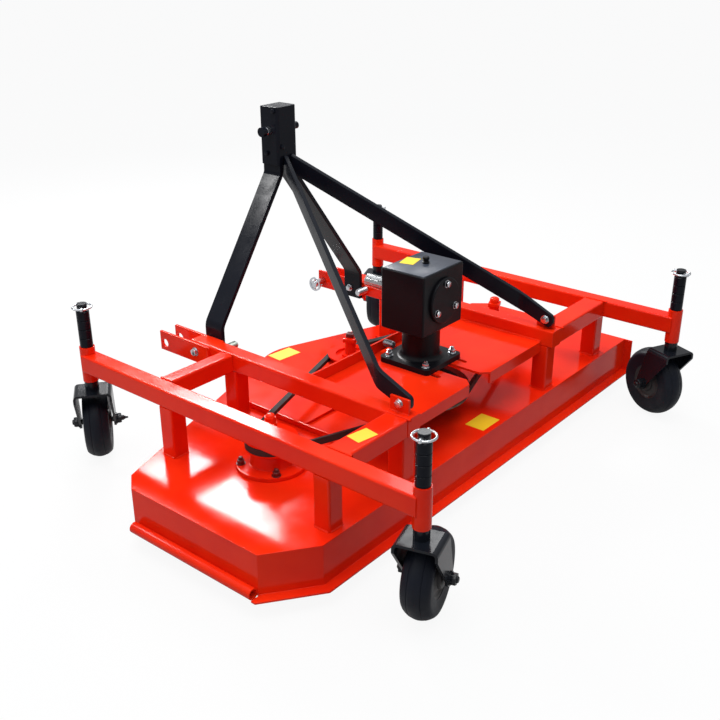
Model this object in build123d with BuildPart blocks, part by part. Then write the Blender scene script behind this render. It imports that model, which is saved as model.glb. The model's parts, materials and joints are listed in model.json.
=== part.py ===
"""Finishing mower for a three point hitch: three belt-driven rotors under a steel deck,
carried by a tube frame on four swivelling casters. Millimetres, X to the right, Y forward
to the tractor, Z up. The origin is the centre of the input shaft's front end. Heights are
over the ground, and distances back are behind the line through the front caster posts."""
import os
from math import cos, radians, sin

from build123d import *

os.makedirs("parts", exist_ok=True)

# Running clearance
running_gap = 0.3

# Caster wheels
wheel_diameter = 190
tyre_width = 64
tyre_shoulder = 16
tyre_bead = 4
tread_side = 12
tread_crown = 4
hub_diameter = 96
hub_inset = 6
hub_boss = 52
hub_width = 70
axle_diameter = 16
axle_nut = 26
axle_nut_thickness = 10
axle_end = 12
caster_trail = 48

# Caster forks, each bent from one plate, and the rods that stand on them
wheel_top_gap = 13
fork_plate = 6
fork_side_gap = 9
fork_bend = 6
fork_foot = 36
fork_ahead = 40
fork_behind = 34
fork_shoulder = 22
rod_diameter = 25
collar_diameter = 34
collar_height = 25
sleeve_diameter = 38
sleeve_below = 28
sleeve_above = 18
spacer_diameter = 32
spacer_length = 23.5
spacer_count = 4
rod_stub = 19
lynch_height = 10
lynch_diameter = 8
lynch_reach = 28
lynch_wire = 5
lynch_ring = 50
# name, side (-1 left), front (1) or rear (0), heading of the trail from +X in degrees
casters = [
    ("front_left", -1, 1, 52),
    ("front_right", 1, 1, 25),
    ("rear_left", -1, 0, 17),
    ("rear_right", 1, 0, 65),
]

# Rotors, blades and the deck round them
rotor_spread = 472
rotor_back = 525
centre_rotor_lead = 159
blade_radius = 246
blade_width = 62
blade_thickness = 7
blade_drop = 67
wing_length = 74
wing_end = 16
wing_lean = 14
wing_rise = 20
blade_bolt = 36
blade_bolt_height = 18
spindle_diameter = 30
spindle_flange = 60
spindle_flange_height = 20
spindle_rise = 48
spindle_nut = 28
spindle_nut_height = 14
post_height = 125
deck_depth = 102
deck_sheet = 5
left_wall_gap = 30
right_wall_gap = 13
rear_wall_gap = 60
deck_nose = 66
deck_slope = 0.345
front_corner_cut = 37
front_corner_run = 47
rear_corner_x = 108
rear_corner_y = 80
nose_radius = 150
lip_width = 24
lip_sheet = 5
panel_sheet = 8
panel_side_gap = 18.5
panel_rear = 460
panel_inset = 16
rib_height = 16
rib_thickness = 6
rib_front = 255
rib_rear = 560
skid_tube = 26
skid_bore = 20
skid_front = 372
skid_rear_gap = 83

# Frame tubes
hitch_spacing = 625
left_member_length = 195.5
right_member_length = 247.5
beam_width = 44
beam_height = 46
tube_corner = 5
front_member_back = 270
front_member_width = 40
rear_member_inset = 31
rear_member_width = 60
beam_overhang = 2
rear_caster_gap = 197
outer_post_setback = 42
inner_post_setback = 5
outer_post_lead = 9
inner_post_lead = 3

# Rotor housings
housing_diameter = 84
housing_flange = 168
housing_plate = 10
housing_height = 38
housing_drop = 30
housing_taper = 12

# Belt drive
belt_over_housing = 23
belt_depth = 11
belt_outer_width = 17
belt_inner_width = 11
drive_pitch = 120
driven_pitch = 56
groove_room = 3
pulley_web = 12
pulley_flange = 4
pulley_rim = 7
drive_hub = 56
driven_hub_wall = 9

# Platform between the inner beams
platform_drop = 34
platform_sheet = 6
platform_lead = 115
platform_rear_inset = 2
platform_gap = 53
platform_corner = 20
platform_lip = 25
stiffener_height = 28
stiffener_thickness = 6
slot_length = 60
slot_shift = 15

# Gearbox
gearbox_behind_rotors = 94
gearbox_width = 164
gearbox_length = 128
gearbox_over_shaft = 77
gearbox_under_shaft = 77
gearbox_corner = 5
gearbox_edge = 2
gearbox_foot = 4
neck_diameter = 95
neck_height = 83
neck_fillet = 14
flange_side = 151
flange_thickness = 14
flange_corner = 14
flange_bolt_spread = 113
flange_bolt = 12
boss_diameter = 148
boss_thickness = 4
cover_diameter = 115
cover_thickness = 8
cover_chamfer = 2
cover_bolt_circle = 87
cover_bolt = 17
cover_bolt_height = 6
seal_diameter = 84
seal_length = 14
journal_diameter = 38
journal_step = 1
shaft_grip = 40
shaft_diameter = 34.9
shaft_reach = 91
shaft_nose = 2
spline_length = 76
spline_width = 3
spline_depth = 2.5
spline_turn = 22.5
output_diameter = 35
output_grip = 10
output_end = 14

# Hitch plates and the pin on the right
hitch_plate = 7
hitch_plate_height = 52
hitch_plate_drop = 8
hitch_plate_front = 22
hitch_plate_length = 183
hitch_plate_overlap = 71
hitch_hole = 22.5
hitch_hole_inset = 18
hitch_hole_rise = 21
hitch_pin = 21.9
pin_inside = 42
pin_outside = 20
pin_chamfer = 2
pin_ring = 38
pin_ring_wire = 5

# Mast and braces
mast_back = 151
mast_rise = 399
mast_width = 71
mast_depth = 59
mast_height = 148
mast_wall = 10
mast_bend = 8
leg_width = 60
leg_thickness = 12
leg_foot_inset = 39
leg_foot_rise = 2
leg_bend_rise = 28
leg_top_drop = 26
leg_bend_radius = 30
leg_inset = 4
link_pin = 19
link_pin_drop = 60
link_pin_reach = 66
link_head = 24
link_head_length = 14
brace_width = 46
brace_thickness = 12
brace_start_x = 16
brace_start_rise = 3
brace_bend_lead = 75
brace_bend_rise = 58
brace_bend_radius = 60
brace_end_radius = 14
brace_end_reach = 26
tab_lead = 5
tab_thickness = 7
tab_length = 52
tab_height = 36

# Heights, stacked from the ground up
wheel_radius = wheel_diameter / 2
fork_roof = wheel_diameter + wheel_top_gap
fork_top = fork_roof + fork_plate
sleeve_low = fork_top + collar_height
frame_bottom = sleeve_low + sleeve_below
frame_top = frame_bottom + beam_height
sleeve_high = frame_top + sleeve_above
spacer_top = sleeve_high + spacer_count * spacer_length
deck_top = frame_bottom - post_height
deck_low = deck_top - deck_depth
blade_height = deck_top - blade_drop
belt_height = deck_top + housing_height + belt_over_housing
spindle_top = belt_height + spindle_rise
platform_top = frame_top - platform_drop
platform_low = platform_top - platform_sheet
gearbox_low = platform_top + flange_thickness + neck_height
shaft_height = gearbox_low + gearbox_under_shaft
gearbox_top = shaft_height + gearbox_over_shaft
hitch_plate_low = frame_bottom - hitch_plate_drop
hitch_hole_height = hitch_plate_low + hitch_hole_rise
mast_low = frame_top + mast_rise
mast_high = mast_low + mast_height
link_pin_height = mast_high - link_pin_drop

# Distances back
deck_rear = rotor_back + blade_radius + rear_wall_gap
caster_base = deck_rear + rear_caster_gap
rear_member_back = deck_rear - rear_member_inset
beam_rear = rear_member_back + rear_member_width / 2 + beam_overhang
gearbox_back = rotor_back + gearbox_behind_rotors
gearbox_front = gearbox_back - gearbox_length / 2
shaft_setback = gearbox_front - seal_length - shaft_reach
platform_front = gearbox_back - platform_lead
platform_rear = rear_member_back - platform_rear_inset
hitch_plate_rear = hitch_plate_front + hitch_plate_length
hitch_hole_back = hitch_plate_front + hitch_hole_inset
inner_beam_front = hitch_plate_rear - hitch_plate_overlap
mast_face = mast_back + mast_depth / 2

# Distances to the side
beam_x = hitch_spacing / 2
platform_edge = beam_x - beam_width / 2
panel_half = platform_edge - panel_side_gap
member_lengths = {-1: left_member_length, 1: right_member_length}
deck_left = rotor_spread + blade_radius + left_wall_gap
deck_right = rotor_spread + blade_radius + right_wall_gap


def rail_centre(side):
    return side * (beam_x + beam_width + member_lengths[side])


# The rotors, the deck and the casters are centred between the outer rails
deck_centre = (rail_centre(-1) + rail_centre(1)) / 2


def aside(distance):
    return deck_centre + distance


def up(height):
    return height - shaft_height


def back(distance):
    return shaft_setback - distance


# name, x, distance back
rotors = [
    ("left", aside(-rotor_spread), rotor_back),
    ("centre", aside(0), rotor_back - centre_rotor_lead),
    ("right", aside(rotor_spread), rotor_back),
]


def write(part, name):
    part.label = name
    export_step(part, f"parts/{name}.step")


def level(height):
    return Plane.XY.offset(up(height))


def across(x, distance, height):
    """A plane across the machine: its normal points forward, its x to the right."""
    return Plane(origin=(x, back(distance), up(height)), x_dir=(1, 0, 0), z_dir=(0, 1, 0))


def side_on(x):
    """A plane seen from the left: local x runs forward, local y up."""
    return Plane(origin=(x, 0, 0), x_dir=(0, 1, 0), z_dir=(1, 0, 0))


# Outer rails with the four caster sleeves
def outer_rail(side):
    x = rail_centre(side)
    with BuildPart() as rail:
        with BuildSketch(across(x, caster_base, frame_top - beam_height / 2)):
            RectangleRounded(beam_width, beam_height, tube_corner)
        extrude(amount=caster_base)
        with BuildSketch(level(sleeve_low)):
            with Locations((x, back(0)), (x, back(caster_base))):
                Circle(sleeve_diameter / 2)
        extrude(amount=sleeve_high - sleeve_low)
        with BuildSketch(level(sleeve_low)):
            with Locations((x, back(0)), (x, back(caster_base))):
                Circle(rod_diameter / 2 + running_gap)
        extrude(amount=sleeve_high - sleeve_low, mode=Mode.SUBTRACT)
    return rail.part


def inner_beam(side):
    with BuildPart() as beam:
        with BuildSketch(across(side * beam_x, beam_rear, frame_top - beam_height / 2)):
            RectangleRounded(beam_width, beam_height, tube_corner)
        extrude(amount=beam_rear - inner_beam_front)
    return beam.part


for side, name in ((-1, "left"), (1, "right")):
    write(outer_rail(side), f"outer_rail_{name}")
    write(inner_beam(side), f"inner_beam_{name}")

# Short members between each rail and its inner beam
with BuildPart() as members:
    for distance, width in (
        (front_member_back, front_member_width),
        (rear_member_back, rear_member_width),
    ):
        for side in (-1, 1):
            beam_face = side * (beam_x + beam_width / 2)
            tube_end = Plane(
                origin=(beam_face, back(distance), up(frame_top - beam_height / 2)),
                x_dir=(0, 1, 0), z_dir=(side, 0, 0),
            )
            with BuildSketch(tube_end):
                RectangleRounded(width, beam_height, tube_corner)
            extrude(amount=member_lengths[side])
write(members.part, "cross_members")

outer_post_backs = (front_member_back + outer_post_setback, rear_member_back - outer_post_lead)
inner_post_backs = (front_member_back + inner_post_setback, rear_member_back - inner_post_lead)
with BuildPart() as posts:
    with BuildSketch(level(deck_top)):
        for side in (-1, 1):
            with Locations(*[(rail_centre(side), back(d)) for d in outer_post_backs]):
                RectangleRounded(beam_width, beam_width, tube_corner)
            with Locations(*[(side * beam_x, back(d)) for d in inner_post_backs]):
                RectangleRounded(beam_width, beam_width, tube_corner)
    extrude(amount=post_height)
write(posts.part, "frame_posts")


# Deck: one bent sheet, open below
def front_edge(offset_out):
    return back(deck_nose + offset_out * deck_slope)


def deck_outline():
    corner_left = deck_left - front_corner_cut
    corner_right = deck_right - front_corner_cut
    with BuildSketch() as outline:
        with BuildLine():
            Polyline(
                (aside(0), back(deck_nose)),
                (aside(corner_right), front_edge(corner_right)),
                (aside(deck_right), front_edge(corner_right) - front_corner_run),
                (aside(deck_right), back(deck_rear)),
                (aside(rear_corner_x - deck_left), back(deck_rear)),
                (aside(-deck_left), back(deck_rear) + rear_corner_y),
                (aside(-deck_left), front_edge(corner_left) - front_corner_run),
                (aside(-corner_left), front_edge(corner_left)),
                close=True,
            )
        make_face()
        nose = outline.vertices().sort_by(Axis.Y)[-1]
        fillet(nose, nose_radius)
    return outline.sketch


deck_face = deck_outline()
lip_reach = back(deck_rear) + rear_corner_y
with BuildPart() as deck:
    with BuildSketch(level(deck_low)):
        add(deck_face)
    extrude(amount=deck_depth)
    with BuildSketch(level(deck_low)):
        add(deck_face)
        offset(amount=-deck_sheet, kind=Kind.INTERSECTION)
    extrude(amount=deck_depth - deck_sheet, mode=Mode.SUBTRACT)
    with BuildSketch(level(deck_low)):
        add(deck_face)
        offset(amount=lip_width, kind=Kind.INTERSECTION)
        with Locations((0, lip_reach)):
            Rectangle(3 * deck_left, 3 * deck_rear, align=(Align.CENTER, Align.MIN), mode=Mode.SUBTRACT)
        with Locations((aside(deck_right), back(deck_rear))):
            Rectangle(2 * lip_width, 4 * lip_width, align=(Align.MIN, Align.CENTER), mode=Mode.SUBTRACT)
        add(deck_face, mode=Mode.SUBTRACT)
    extrude(amount=lip_sheet)
    # The right end sheet runs past the rear wall, out to the lip's edge
    with BuildSketch(level(deck_low)):
        with Locations((aside(deck_right), back(deck_rear))):
            Rectangle(deck_sheet, lip_width, align=(Align.MAX, Align.MAX))
    extrude(amount=deck_depth)
    with BuildSketch(level(deck_top)):
        with Locations(*[(x, back(d)) for _, x, d in rotors]):
            Circle(housing_diameter / 2)
    extrude(amount=-deck_sheet, mode=Mode.SUBTRACT)
write(deck.part, "deck")

# Raised panel between the inner posts, and its two side ribs
with BuildPart() as panel:
    with BuildSketch(level(deck_top)):
        add(deck_face)
        offset(amount=-panel_inset, kind=Kind.INTERSECTION)
        with Locations((0, back(panel_rear))):
            Rectangle(2 * panel_half, panel_rear, align=(Align.CENTER, Align.MIN), mode=Mode.INTERSECT)
        with Locations((aside(0), back(rotor_back - centre_rotor_lead))):
            Circle(housing_flange / 2 + running_gap, mode=Mode.SUBTRACT)
    extrude(amount=panel_sheet)
write(panel.part, "deck_panel")

with BuildPart() as ribs:
    with BuildSketch(level(deck_top)):
        for side in (-1, 1):
            with Locations((side * (panel_half + rib_thickness / 2), back(rib_rear))):
                Rectangle(rib_thickness, rib_rear - rib_front, align=(Align.CENTER, Align.MIN))
    extrude(amount=rib_height)
write(ribs.part, "deck_ribs")

# Skid tube along the left wall's foot
skid_rear = deck_rear - skid_rear_gap
with BuildPart() as skid:
    with BuildSketch(across(aside(-deck_left) - skid_tube / 2, skid_rear, deck_low + skid_tube / 2)):
        Circle(skid_tube / 2)
        Circle(skid_bore / 2, mode=Mode.SUBTRACT)
    extrude(amount=skid_rear - skid_front)
write(skid.part, "skid_tube")

# Rotor housings, bolted through the deck
with BuildPart() as housings:
    for _, x, distance in rotors:
        middle = (x, back(distance))
        with BuildSketch(level(deck_top)):
            with Locations(middle):
                Circle(housing_flange / 2)
        extrude(amount=housing_plate)
        with BuildSketch(level(deck_top + housing_plate)):
            with Locations(middle):
                Circle(housing_diameter / 2 + housing_plate)
        extrude(amount=housing_height - housing_plate, taper=housing_taper)
        with BuildSketch(level(deck_top - housing_drop)):
            with Locations(middle):
                Circle(housing_diameter / 2 - running_gap)
        extrude(amount=housing_drop)
        with BuildSketch(level(deck_top - housing_drop)):
            with Locations(middle):
                Circle(spindle_diameter / 2 + running_gap)
        extrude(amount=housing_drop + housing_height, mode=Mode.SUBTRACT)
write(housings.part, "rotor_housings")

# Belt and pulleys
belt_slope = (belt_outer_width - belt_inner_width) / 2 / belt_depth
rim_over = belt_depth / 2
groove_under = belt_depth / 2 + groove_room


def groove_half(over_pitch):
    return (belt_outer_width + belt_inner_width) / 4 + over_pitch * belt_slope + 2 * running_gap


rim_half = groove_half(rim_over) + pulley_flange


def pulley_profile(pitch, hub_radius, bore_radius):
    """Half section of a grooved pulley, local x outwards, local y up from the belt's middle."""
    rim = pitch + rim_over
    floor = pitch - groove_under
    inner_rim = floor - pulley_rim
    web = pulley_web / 2
    return [
        (bore_radius, -rim_half), (hub_radius, -rim_half), (hub_radius, -web), (inner_rim, -web),
        (inner_rim, -rim_half), (rim, -rim_half), (rim, -groove_half(rim_over)),
        (floor, -groove_half(-groove_under)), (floor, groove_half(-groove_under)),
        (rim, groove_half(rim_over)), (rim, rim_half), (inner_rim, rim_half),
        (inner_rim, web), (hub_radius, web), (hub_radius, rim_half), (bore_radius, rim_half),
    ]


def turned(points, x, distance):
    """A solid of revolution about the upright axis at (x, distance back)."""
    centre = Plane(origin=(x, back(distance), up(belt_height)), x_dir=(1, 0, 0), z_dir=(0, -1, 0))
    with BuildPart() as solid:
        with BuildSketch(centre):
            with BuildLine():
                Polyline(*points, close=True)
            make_face()
        revolve(axis=Axis((x, back(distance), 0), (0, 0, 1)))
    return solid.part


drive_profile = pulley_profile(drive_pitch, drive_hub, output_diameter / 2)
write(turned(drive_profile, 0, gearbox_back), "drive_pulley")

output_top = gearbox_low + output_grip
output_low = belt_height - rim_half - output_end
with BuildPart() as output:
    with BuildSketch(level(output_low)):
        with Locations((0, back(gearbox_back))):
            Circle(output_diameter / 2)
    extrude(amount=output_top - output_low)
write(output.part, "output_shaft")


def belt_loop(offset_out):
    """The outline of a band round all four pulleys, offset_out beyond their pitch line."""
    with BuildSketch() as loop:
        with Locations((0, back(gearbox_back))):
            Circle(drive_pitch + offset_out)
        for _, x, distance in rotors:
            with Locations((x, back(distance))):
                Circle(driven_pitch + offset_out)
        make_hull()
    return loop.sketch


with BuildPart() as belt:
    with BuildSketch(level(belt_height - belt_outer_width / 2)):
        add(belt_loop(belt_depth / 2))
        add(belt_loop(-belt_depth / 2), mode=Mode.SUBTRACT)
    extrude(amount=belt_outer_width)
    for turn in (1, -1):
        with BuildSketch(level(belt_height + turn * belt_inner_width / 2)):
            add(belt_loop(-belt_depth / 2))
        with BuildSketch(level(belt_height + turn * belt_outer_width / 2)):
            add(belt_loop(belt_depth / 2))
        loft(ruled=True, mode=Mode.SUBTRACT)
write(belt.part, "drive_belt")

# Rotors: the spindle with its pulley, and the blade below with its two lift wings
spindle_foot = blade_height + blade_thickness + running_gap
driven_hub = spindle_diameter / 2 + driven_hub_wall
for name, x, distance in rotors:
    middle = (x, back(distance))
    with BuildPart() as spindle:
        add(turned(pulley_profile(driven_pitch, driven_hub, spindle_diameter / 2 - 1), x, distance))
        with BuildSketch(level(spindle_foot)):
            with Locations(middle):
                Circle(spindle_diameter / 2)
        extrude(amount=spindle_top - spindle_foot)
        with BuildSketch(level(spindle_top)):
            with Locations(middle):
                RegularPolygon(spindle_nut / 2, 6)
        extrude(amount=spindle_nut_height)
        with BuildSketch(level(spindle_foot)):
            with Locations(middle):
                Circle(spindle_flange / 2)
        extrude(amount=spindle_flange_height)
    write(spindle.part, f"spindle_{name}")
    with BuildPart() as blade:
        with BuildSketch(level(blade_height)):
            with Locations(middle):
                Rectangle(2 * blade_radius, blade_width)
                Circle(blade_radius, mode=Mode.INTERSECT)
        extrude(amount=blade_thickness)
        wing_top = -wing_rise - blade_thickness
        for end in (-1, 1):
            wing_root = Plane(
                origin=(
                    x + end * (blade_radius - wing_length - wing_end),
                    back(distance) + end * blade_width / 2,
                    up(blade_height),
                ),
                x_dir=(0, -end, 0), z_dir=(end, 0, 0),
            )
            with BuildSketch(wing_root):
                with BuildLine():
                    Polyline(
                        (0, 0), (blade_thickness, 0), (blade_thickness - wing_lean, wing_top),
                        (-wing_lean, wing_top), close=True,
                    )
                make_face()
            extrude(amount=wing_length)
        with BuildSketch(level(blade_height)):
            with Locations(middle):
                RegularPolygon(blade_bolt / 2, 6)
        extrude(amount=-blade_bolt_height)
    write(blade.part, f"blade_{name}")

# Gearbox
gear_y = back(gearbox_back)
with BuildPart() as gearbox:
    with BuildSketch(level(gearbox_low)):
        with Locations((0, gear_y)):
            RectangleRounded(gearbox_width, gearbox_length, gearbox_corner)
    extrude(amount=gearbox_top - gearbox_low)
    chamfer(gearbox.faces().sort_by(Axis.Z)[-1].edges(), gearbox_edge)
    chamfer(gearbox.faces().sort_by(Axis.Z)[0].edges(), gearbox_foot)
    with BuildSketch(level(platform_top + flange_thickness)):
        with Locations((0, gear_y)):
            Circle(neck_diameter / 2)
    extrude(amount=neck_height)
    with BuildSketch(level(platform_top)):
        with Locations((0, gear_y)):
            RectangleRounded(flange_side, flange_side, flange_corner)
    extrude(amount=flange_thickness)
    neck_foot = up(platform_top + flange_thickness)
    neck_seat = gearbox.edges().filter_by(GeomType.CIRCLE).filter_by(
        lambda e: abs(e.radius - neck_diameter / 2) < 0.01 and abs(e.center().Z - neck_foot) < 0.01
    )
    fillet(neck_seat, neck_fillet)
    with BuildSketch(level(platform_top)):
        with Locations((0, gear_y)):
            with GridLocations(flange_bolt_spread, flange_bolt_spread, 2, 2):
                Circle(flange_bolt / 2 + running_gap)
    extrude(amount=flange_thickness, mode=Mode.SUBTRACT)
    with BuildSketch(across(0, gearbox_front, shaft_height)):
        Circle(boss_diameter / 2)
    extrude(amount=boss_thickness)
    with BuildSketch(across(0, gearbox_front, shaft_height)):
        Circle(seal_diameter / 2)
    extrude(amount=seal_length)
    with BuildSketch(across(0, gearbox_front + shaft_grip, shaft_height)):
        Circle(journal_diameter / 2 + running_gap)
    extrude(amount=shaft_grip + seal_length, mode=Mode.SUBTRACT)
    with BuildSketch(level(platform_top)):
        with Locations((0, gear_y)):
            Circle(output_diameter / 2 + running_gap)
    extrude(amount=output_top + running_gap - platform_top, mode=Mode.SUBTRACT)
write(gearbox.part, "gearbox")

cover_back = gearbox_back + gearbox_length / 2
with BuildPart() as cover:
    with BuildSketch(across(0, cover_back, shaft_height)):
        Circle(cover_diameter / 2)
    extrude(amount=-cover_thickness)
    chamfer(cover.faces().sort_by(Axis.Y)[0].edges(), cover_chamfer)
    with BuildSketch(across(0, cover_back + cover_thickness, shaft_height)):
        with PolarLocations(cover_bolt_circle / 2, 3, start_angle=-90):
            RegularPolygon(cover_bolt / 2, 6)
    extrude(amount=-cover_bolt_height)
write(cover.part, "gearbox_cover")

# Input shaft: a journal in the seal, then the splined end with its six grooves
with BuildPart() as shaft:
    with BuildSketch(across(0, gearbox_front + shaft_grip, shaft_height)):
        Circle(journal_diameter / 2)
    extrude(amount=shaft_grip + seal_length + journal_step)
    with BuildSketch(Plane.XZ.offset(-shaft_nose)):
        Circle(shaft_diameter / 2)
    extrude(amount=shaft_reach - journal_step + shaft_nose)
    chamfer(shaft.faces().sort_by(Axis.Y)[-1].edges(), shaft_nose)
    with BuildSketch(Plane.XZ.offset(-shaft_nose)):
        with PolarLocations(shaft_diameter / 2, 6, start_angle=spline_turn):
            Rectangle(2 * spline_depth, spline_width)
    extrude(amount=spline_length, mode=Mode.SUBTRACT)
write(shaft.part, "input_shaft")

# Platform plates with their slots, rear lips and the stiffener across the front
bolt_half = flange_bolt_spread / 2
lip_start = platform_gap / 2 + platform_corner
for side, name in ((-1, "left"), (1, "right")):
    with BuildPart() as plate:
        with BuildSketch(level(platform_low)):
            with BuildLine():
                Polyline(
                    (side * platform_gap / 2, back(platform_front)),
                    (side * platform_edge, back(platform_front)),
                    (side * platform_edge, back(platform_rear)),
                    (side * lip_start, back(platform_rear)),
                    (side * platform_gap / 2, back(platform_rear - platform_corner)),
                    close=True,
                )
            make_face()
            for distance in (gearbox_back - bolt_half, gearbox_back + bolt_half):
                with Locations((side * bolt_half, back(distance + slot_shift))):
                    SlotOverall(slot_length, flange_bolt + 2, rotation=90, mode=Mode.SUBTRACT)
        extrude(amount=platform_sheet)
        with BuildSketch(level(platform_low)):
            with Locations((side * lip_start, back(platform_rear))):
                Rectangle(
                    platform_edge - lip_start, platform_sheet,
                    align=(Align.MIN if side > 0 else Align.MAX, Align.MIN),
                )
        extrude(amount=-platform_lip)
    write(plate.part, f"platform_{name}")

with BuildPart() as stiffener:
    with BuildSketch(level(platform_top)):
        with Locations((0, back(platform_front))):
            Rectangle(2 * platform_edge, stiffener_thickness, align=(Align.CENTER, Align.MAX))
    extrude(amount=stiffener_height)
write(stiffener.part, "platform_stiffener")

# Lower hitch plates, a pair on each inner beam
for side, name in ((-1, "left"), (1, "right")):
    with BuildPart() as plates:
        for face in (-1, 1):
            start = side * beam_x + face * beam_width / 2
            with BuildSketch(side_on(start)):
                with Locations((back(hitch_plate_front), up(hitch_plate_low))):
                    Rectangle(hitch_plate_length, hitch_plate_height, align=(Align.MAX, Align.MIN))
                with Locations((back(hitch_hole_back), up(hitch_hole_height))):
                    Circle(hitch_hole / 2, mode=Mode.SUBTRACT)
            extrude(amount=face * hitch_plate)
    write(plates.part, f"hitch_plates_{name}")

# Right hitch pin, with its ring round the inner end
hitch_half = beam_width / 2 + hitch_plate
pin_start = beam_x - hitch_half - pin_inside
ring_x = pin_start + pin_ring_wire
pin_y = back(hitch_hole_back)
pin_z = up(hitch_hole_height)
with BuildPart() as hitch_pin_right:
    with BuildSketch(Plane(origin=(pin_start, pin_y, pin_z), x_dir=(0, 1, 0), z_dir=(1, 0, 0))):
        Circle(hitch_pin / 2)
    extrude(amount=2 * hitch_half + pin_inside + pin_outside)
    chamfer(hitch_pin_right.edges().filter_by(GeomType.CIRCLE), pin_chamfer)
    with BuildSketch(Plane(origin=(ring_x, pin_y, pin_z), x_dir=(1, 0, 0), z_dir=(0, 0, 1))):
        Circle(pin_ring_wire / 2)
    extrude(amount=pin_ring / 2, both=True)
    with BuildSketch(Plane(origin=(ring_x, pin_y, pin_z), x_dir=(0, 0, 1), z_dir=(0, 1, 0))):
        with Locations((pin_ring / 2, 0)):
            Rectangle(pin_ring_wire, pin_ring_wire)
    revolve(axis=Axis((ring_x, pin_y, pin_z), (1, 0, 0)))
write(hitch_pin_right.part, "hitch_pin")

# Mast legs: flat bars that lean in from the hitch plates to the mast head
foot_x = beam_x - hitch_half - leg_thickness
top_x = mast_width / 2 - leg_inset - leg_thickness
leg_foot_back = hitch_plate_rear - leg_foot_inset
leg_foot_low = hitch_plate_low + leg_foot_rise
leg_low_bend = frame_top + leg_bend_rise
leg_top_bend = mast_low - leg_top_drop
for side, name in ((-1, "left"), (1, "right")):
    with BuildPart() as leg:
        with BuildSketch(Plane.XZ):
            with BuildLine():
                FilletPolyline(
                    (side * foot_x, up(leg_foot_low)), (side * foot_x, up(leg_low_bend)),
                    (side * top_x, up(leg_top_bend)), (side * top_x, up(mast_low)),
                    radius=leg_bend_radius,
                )
                offset(amount=leg_thickness, side=Side.RIGHT if side > 0 else Side.LEFT)
            make_face()
        extrude(amount=-shaft_setback)
        leg_profile = [
            (back(leg_foot_back), up(leg_foot_low)), (back(leg_foot_back), up(leg_low_bend)),
            (back(mast_back), up(leg_top_bend)), (back(mast_back), up(mast_low)),
        ]
        half = leg_width / 2
        with BuildSketch(Plane.YZ.offset(-hitch_spacing)):
            with BuildLine():
                Polyline(
                    *[(y - half, z) for y, z in leg_profile],
                    *[(y + half, z) for y, z in reversed(leg_profile)],
                    close=True,
                )
            make_face()
        extrude(amount=2 * hitch_spacing, mode=Mode.INTERSECT)
    write(leg.part, f"mast_leg_{name}")

with BuildPart() as head:
    with BuildSketch(level(mast_low)):
        with Locations((0, back(mast_back))):
            Rectangle(mast_width, mast_depth)
    extrude(amount=mast_height)
    fillet(head.edges().filter_by(Axis.Z).group_by(Axis.Y)[0], mast_bend)
    with BuildSketch(level(mast_low)):
        with Locations((0, back(mast_back - mast_wall / 2))):
            Rectangle(mast_width - 2 * mast_wall, mast_depth - mast_wall)
    extrude(amount=mast_height - mast_wall, mode=Mode.SUBTRACT)
    with BuildSketch(side_on(-mast_width)):
        with Locations((back(mast_back), up(link_pin_height))):
            Circle(link_pin / 2 + running_gap)
    extrude(amount=2 * mast_width, mode=Mode.SUBTRACT)
write(head.part, "mast_head")

with BuildPart() as link:
    with BuildSketch(side_on(-link_pin_reach)):
        with Locations((back(mast_back), up(link_pin_height))):
            Circle(link_pin / 2)
    extrude(amount=2 * link_pin_reach)
    with BuildSketch(side_on(-link_pin_reach)):
        with Locations((back(mast_back), up(link_pin_height))):
            Circle(link_head / 2)
    extrude(amount=link_head_length)
write(link.part, "top_link_pin")

# Rear braces, on edge from the mast head to the tabs at the rear corners
tab_back = rear_member_back - tab_lead
brace_end = tab_back + brace_end_reach
brace_bend_back = rear_member_back - brace_bend_lead
brace_start = up(mast_low + brace_start_rise)
brace_bend = up(frame_top + brace_bend_rise)
for side, name in ((-1, "left"), (1, "right")):
    with BuildPart() as brace:
        with BuildSketch():
            with BuildLine():
                FilletPolyline(
                    (side * brace_start_x, back(mast_face)),
                    (side * beam_x, back(brace_bend_back)),
                    (side * beam_x, back(brace_end)),
                    radius=brace_bend_radius,
                )
                offset(amount=brace_thickness, side=Side.RIGHT if side > 0 else Side.LEFT)
            make_face()
        extrude(amount=mast_high, both=True)
        half = brace_width / 2
        with BuildSketch(Plane.YZ.offset(-hitch_spacing)) as brace_side:
            with BuildLine():
                Polyline(
                    (back(mast_face), brace_start - half),
                    (back(brace_bend_back), brace_bend - half),
                    (back(brace_end), up(frame_top) + running_gap),
                    (back(brace_end), up(frame_top + tab_height) + 2),
                    (back(brace_bend_back), brace_bend + half),
                    (back(mast_face), brace_start + half),
                    close=True,
                )
            make_face()
            fillet(brace_side.vertices().group_by(Axis.X)[0], brace_end_radius)
        extrude(amount=2 * hitch_spacing, mode=Mode.INTERSECT)
    write(brace.part, f"mast_brace_{name}")

with BuildPart() as tabs:
    for side in (-1, 1):
        with BuildSketch(side_on(side * beam_x)):
            with Locations((back(tab_back), up(frame_top))):
                Rectangle(tab_length, tab_height, align=(Align.CENTER, Align.MIN))
        extrude(amount=side * tab_thickness)
write(tabs.part, "brace_tabs")

# Casters: each fork is bent from one plate, with its rod standing in the sleeve
fork_inside = tyre_width / 2 + fork_side_gap
fork_outside = fork_inside + fork_plate
fork_reach = wheel_radius + caster_trail
rod_top = spacer_top + rod_stub
pin_height = spacer_top + lynch_height


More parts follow.
